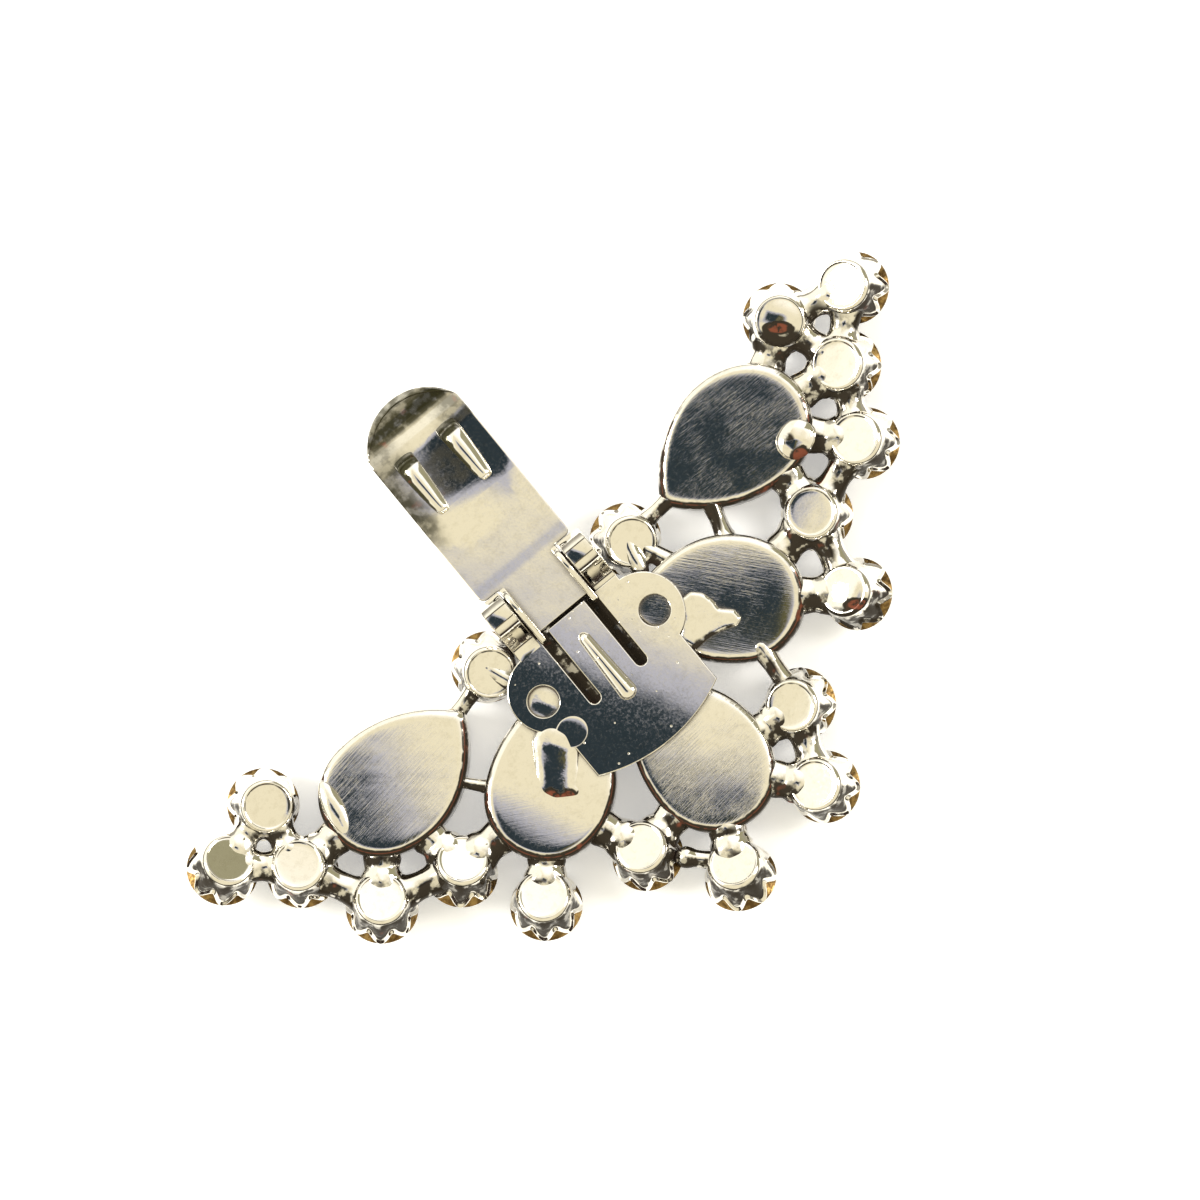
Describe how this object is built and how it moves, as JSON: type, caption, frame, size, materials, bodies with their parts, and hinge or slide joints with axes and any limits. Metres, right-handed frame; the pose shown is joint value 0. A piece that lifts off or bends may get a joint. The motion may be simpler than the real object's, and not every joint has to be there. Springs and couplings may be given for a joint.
{
  "type": "shoe clip",
  "caption": "Jewelled shoe clip: round and pear-shaped closed-back cups soldered into a chevron, with a hinged toothed clip across the back.",
  "frame": {"origin": "bottom centre of the overall box, on the surface that the stones' tables rest on", "axes": "+Z is the clip side, away from the stones; +Y points from the chevron's apex towards the open lever; +X runs from tip to tip"},
  "size_m": [0.0702, 0.0465, 0.0078],
  "materials": {
    "silver_tone_metal": "polished silver-tone plating",
    "crystal": "cut clear stone with a gold-bronze foil back"
  },
  "bodies": {
    "ornament": {"soldered_frame": "silver_tone_metal", "round_stone_01": "crystal", "round_stone_02": "crystal", "round_stone_03": "crystal", "round_stone_04": "crystal", "round_stone_05": "crystal", "round_stone_06": "crystal", "round_stone_07": "crystal", "round_stone_08": "crystal", "round_stone_09": "crystal", "round_stone_10": "crystal", "round_stone_11": "crystal", "round_stone_12": "crystal", "round_stone_13": "crystal", "round_stone_14": "crystal", "round_stone_15": "crystal", "round_stone_16": "crystal", "round_stone_17": "crystal", "round_stone_18": "crystal", "pear_stone_1": "crystal", "pear_stone_2": "crystal", "pear_stone_3": "crystal", "pear_stone_4": "crystal", "pear_stone_5": "crystal"},
    "lever": {"clip_lever": "silver_tone_metal"}
  },
  "joints": [
    {"name": "lever_hinge", "type": "hinge", "parent": "ornament", "child": "lever", "pos_m": [-0.00023, 0.00548, 0.0062], "axis": [0.9976, -0.0698, 0], "range_deg": [0, 180]}
  ]
}
